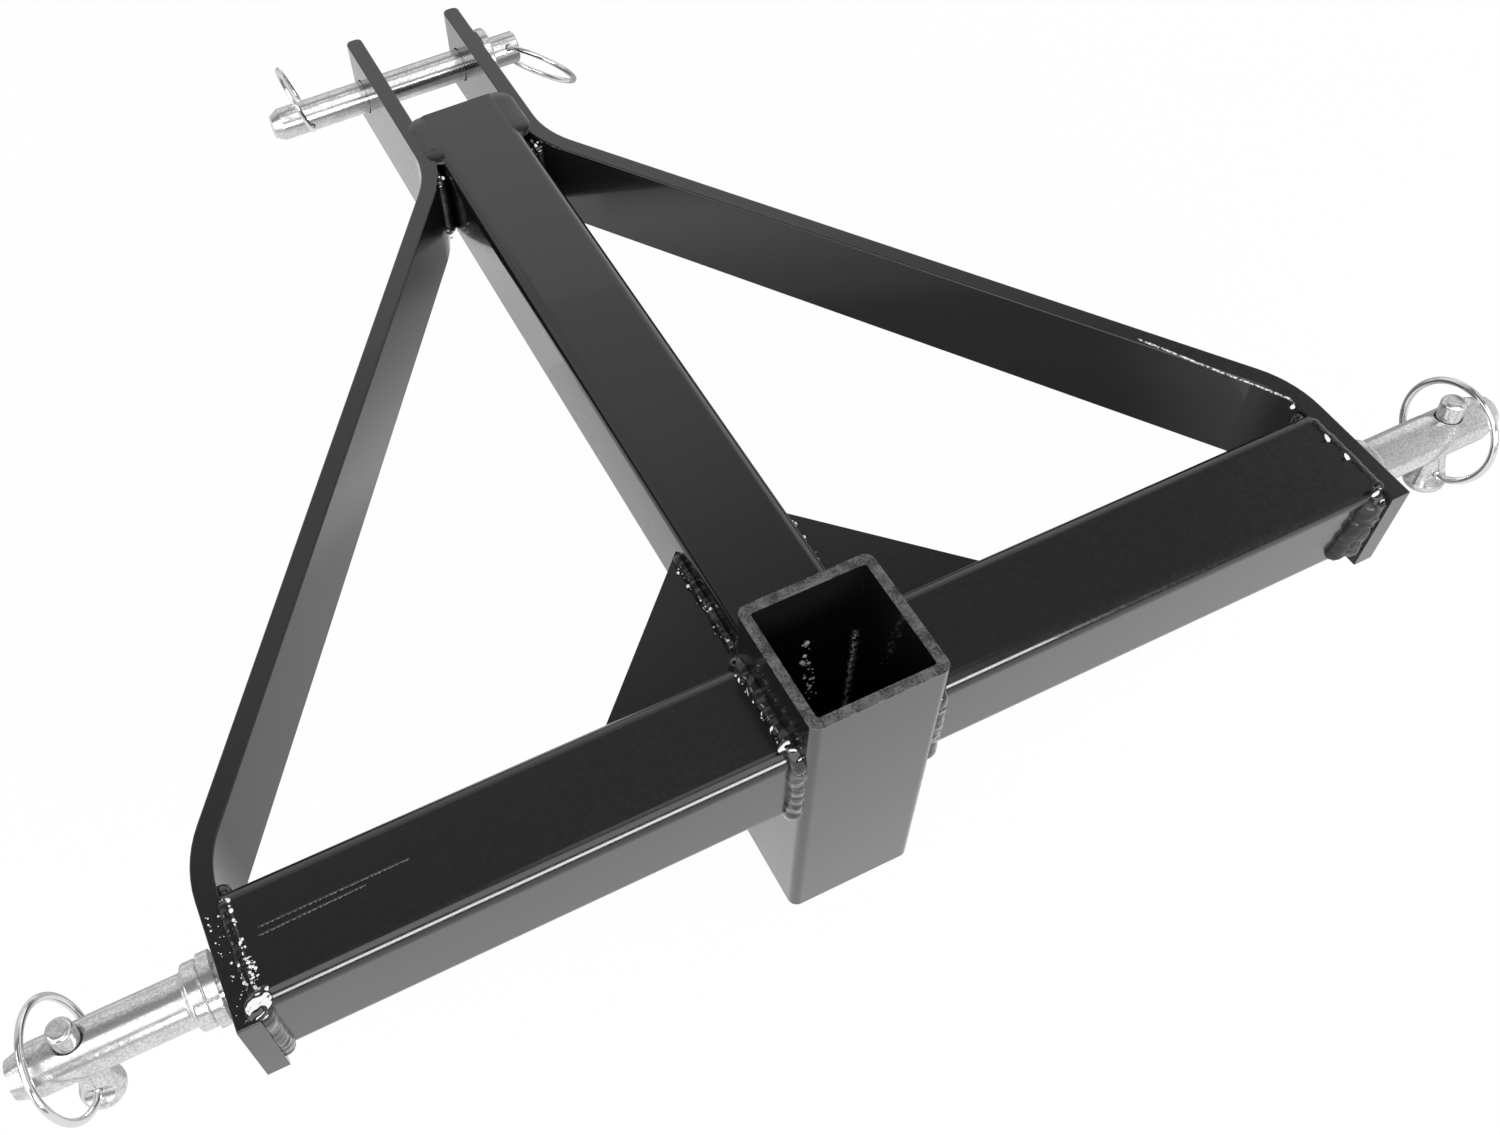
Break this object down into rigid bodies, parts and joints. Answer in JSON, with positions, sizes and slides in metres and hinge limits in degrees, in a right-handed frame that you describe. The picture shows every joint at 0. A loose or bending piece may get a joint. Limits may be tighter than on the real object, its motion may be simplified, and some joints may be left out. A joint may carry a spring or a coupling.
{
  "type": "three point receiver hitch",
  "caption": "Welded three point hitch frame: square crossbar with lower link pins, a receiver tube through its middle, and a mast with two bent straps up to a clevis for the top link.",
  "frame": {"origin": "Centre of the receiver tube's lower end, on the tube's axis.", "axes": "+X along the crossbar, +Y along the mast towards the clevis, +Z along the receiver tube out of its upper mouth."},
  "size_m": [0.712, 0.5493, 0.17],
  "materials": {
    "black_paint": "gloss",
    "zinc_plate": "satin",
    "ring_wire": "polished"
  },
  "bodies": {
    "frame": {"receiver_tube": "black_paint", "mast_tube": "black_paint", "crossbar_left": "black_paint", "crossbar_right": "black_paint", "side_strap_left": "black_paint", "side_strap_right": "black_paint", "gusset_left": "black_paint", "gusset_right": "black_paint", "weld_receiver_mast": "black_paint", "weld_receiver_left": "black_paint", "weld_receiver_right": "black_paint", "weld_strap_left": "black_paint", "weld_strap_right": "black_paint", "weld_clevis_left": "black_paint", "weld_clevis_right": "black_paint", "weld_gusset_left": "black_paint", "weld_gusset_right": "black_paint", "lower_pin_left": "zinc_plate", "lower_pin_right": "zinc_plate", "lock_washer_left": "zinc_plate", "lock_washer_right": "zinc_plate", "hex_nut_left": "zinc_plate", "hex_nut_right": "zinc_plate"},
    "linch_pin_left": {"linch_pin_left": "zinc_plate"},
    "linch_ring_left": {"linch_ring_left": "ring_wire"},
    "linch_pin_right": {"linch_pin_right": "zinc_plate"},
    "linch_ring_right": {"linch_ring_right": "ring_wire"},
    "top_link_pin": {"top_link_pin": "zinc_plate"},
    "top_pin_pull_ring": {"top_pin_pull_ring": "ring_wire"},
    "top_pin_lock_ring": {"top_pin_lock_ring": "ring_wire"}
  },
  "joints": [
    {"name": "linch_slide_left", "type": "slide", "parent": "frame", "child": "linch_pin_left", "axis": [0, -0.1392, -0.9903], "range_m": [0, 0.034]},
    {"name": "linch_ring_hinge_left", "type": "hinge", "parent": "linch_pin_left", "child": "linch_ring_left", "pos_m": [-0.3325, -0.00334, 0.09083], "axis": [-0.2079, -0.9686, 0.1361], "range_deg": [0, 154]},
    {"name": "linch_slide_right", "type": "slide", "parent": "frame", "child": "linch_pin_right", "axis": [0, -0.1219, -0.9925], "range_m": [0, 0.034]},
    {"name": "linch_ring_hinge_right", "type": "hinge", "parent": "linch_pin_right", "child": "linch_ring_right", "pos_m": [0.3295, -0.00293, 0.09078], "axis": [0, 0.9925, -0.1219], "range_deg": [0, 195]},
    {"name": "top_pin_slide", "type": "slide", "parent": "frame", "child": "top_link_pin", "axis": [1, 0, 0], "range_m": [-0.0039, 0.035]},
    {"name": "pull_ring_hinge", "type": "hinge", "parent": "top_link_pin", "child": "top_pin_pull_ring", "pos_m": [0.05705, 0.496, 0.1131], "axis": [0, 0.788, -0.6157], "range_deg": [-144, 54]},
    {"name": "lock_ring_hinge", "type": "hinge", "parent": "top_link_pin", "child": "top_pin_lock_ring", "pos_m": [-0.0736, 0.496, 0.1131], "axis": [0, -0.9903, -0.1392], "range_deg": [-60, 161]}
  ],
  "couplings": [
    {"joint": "linch_ring_hinge_left", "follows": "linch_slide_left", "rad_per_m": 78.5},
    {"joint": "linch_ring_hinge_right", "follows": "linch_slide_right", "rad_per_m": 99.5}
  ]
}
